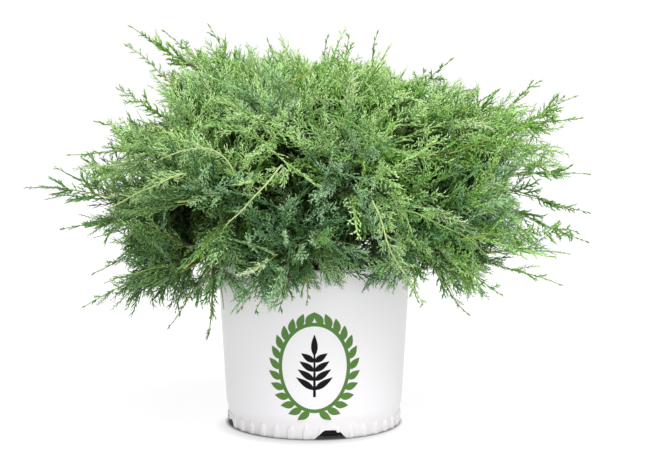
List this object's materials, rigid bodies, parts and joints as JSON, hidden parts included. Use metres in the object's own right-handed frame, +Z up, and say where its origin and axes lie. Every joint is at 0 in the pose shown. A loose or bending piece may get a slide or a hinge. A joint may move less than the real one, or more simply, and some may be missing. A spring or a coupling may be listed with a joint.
{
  "type": "potted chinese juniper",
  "caption": "Spreading juniper shrub with feathery scale-leaved sprays and long arching shoots, in a white tapered nursery pot filled with potting mix.",
  "frame": {"origin": "middle of the pot's flat underside, where it stands on the ground", "axes": "+Z up, +X along the widest spread of the crown, -Y towards the viewer of the picture"},
  "size_m": [0.82, 0.705, 0.574],
  "materials": {
    "pot_white": "satin",
    "potting_mix": "rough, moist bark and peat",
    "bark": "rough, flaking",
    "foliage": "matte"
  },
  "bodies": {
    "root": {"bough_01": "bark", "bough_02": "bark", "bough_03": "bark", "bough_04": "bark", "bough_05": "bark", "bough_06": "bark", "bough_07": "bark", "bough_08": "bark", "bough_09": "bark", "bough_10": "bark", "bough_11": "bark", "bough_12": "bark", "bough_13": "bark", "bough_14": "bark", "bough_15": "bark", "bough_16": "bark", "bough_17": "bark", "bough_18": "bark", "bough_19": "bark", "bough_20": "bark", "bough_21": "bark", "foliage_middle_08": "foliage", "foliage_middle_09": "foliage", "foliage_middle_10": "foliage", "foliage_middle_11": "foliage", "foliage_middle_12": "foliage", "foliage_middle_13": "foliage", "foliage_middle_14": "foliage", "foliage_middle_15": "foliage", "foliage_skirt_01": "foliage", "foliage_skirt_02": "foliage", "foliage_skirt_03": "foliage", "foliage_skirt_04": "foliage", "foliage_skirt_05": "foliage", "foliage_skirt_06": "foliage", "foliage_skirt_07": "foliage", "foliage_top_16": "foliage", "foliage_top_17": "foliage", "foliage_top_18": "foliage", "foliage_top_19": "foliage", "foliage_top_20": "foliage", "foliage_top_21": "foliage", "pot": "pot_white", "potting_mix": "potting_mix", "trunk": "bark"}
  },
  "joints": []
}
